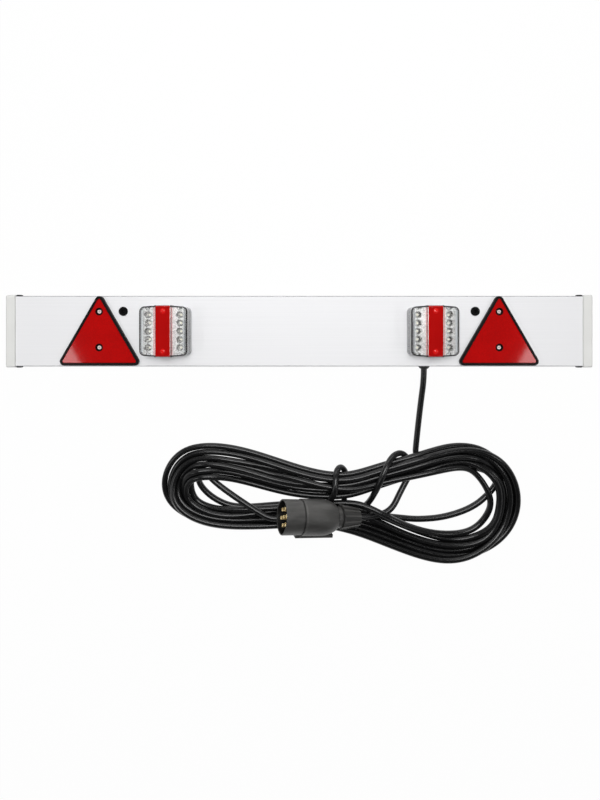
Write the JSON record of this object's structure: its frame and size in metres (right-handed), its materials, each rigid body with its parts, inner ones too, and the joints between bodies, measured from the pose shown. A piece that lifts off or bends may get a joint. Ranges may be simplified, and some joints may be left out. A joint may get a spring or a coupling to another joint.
{
  "type": "trailer lighting board",
  "caption": "Long white trailer lighting board with grey end caps, red triangular reflectors, clear lamps with a red strip, and a hank of black cable that ends in a round pin plug.",
  "frame": {"origin": "middle of the board's footprint, on the floor under the end caps, with the board lying on its back", "axes": "+X along the board to the end with the cable, +Y up the board as it is used, +Z out of the lit face"},
  "size_m": [1.22, 0.5632, 0.1233],
  "materials": {
    "board_white": "satin",
    "cap_grey": "satin",
    "black_plastic": "satin",
    "black_rubber": "matte",
    "reflector_red": "gloss",
    "screw_steel": "bright",
    "lamp_grey": "satin",
    "lens_clear": "clear",
    "strip_red": "gloss",
    "circuit_white": "matte",
    "chip_yellow": "gloss",
    "mirror_silver": "bright",
    "cord_black": "satin",
    "plug_grey": "satin",
    "pin_brass": "bright"
  },
  "bodies": {
    "root": {"board_profile": "board_white", "end_cap_left": "cap_grey", "end_cap_right": "cap_grey", "edge_clips": "black_plastic", "fixing_bushes": "black_rubber", "reflector_backing_left": "black_plastic", "reflector_backing_right": "black_plastic", "reflector_lens_left": "reflector_red", "reflector_lens_right": "reflector_red", "reflector_screws": "screw_steel", "lamp_base_left": "lamp_grey", "lamp_base_right": "lamp_grey", "lamp_seal_left": "black_rubber", "lamp_seal_right": "black_rubber", "lamp_screws": "screw_steel", "lamp_circuit_board_left": "circuit_white", "lamp_circuit_board_right": "circuit_white", "lamp_light_chips": "chip_yellow", "lamp_mirror_left": "mirror_silver", "lamp_mirror_right": "mirror_silver", "lamp_lens_left": "lens_clear", "lamp_lens_right": "lens_clear", "lamp_strip_left": "strip_red", "lamp_strip_right": "strip_red", "supply_lead": "cord_black", "link_lead": "cord_black", "cable_gland": "black_rubber", "cord_drop": "cord_black", "cord_hank": "cord_black", "cord_loose_right": "cord_black", "cord_loose_left": "cord_black", "cord_tail": "cord_black", "plug_shell": "plug_grey", "plug_body": "plug_grey", "plug_contact_carrier": "black_plastic", "plug_contact_pins": "pin_brass", "plug_cable_nut": "plug_grey", "plug_cord_grip": "black_rubber"}
  },
  "joints": []
}
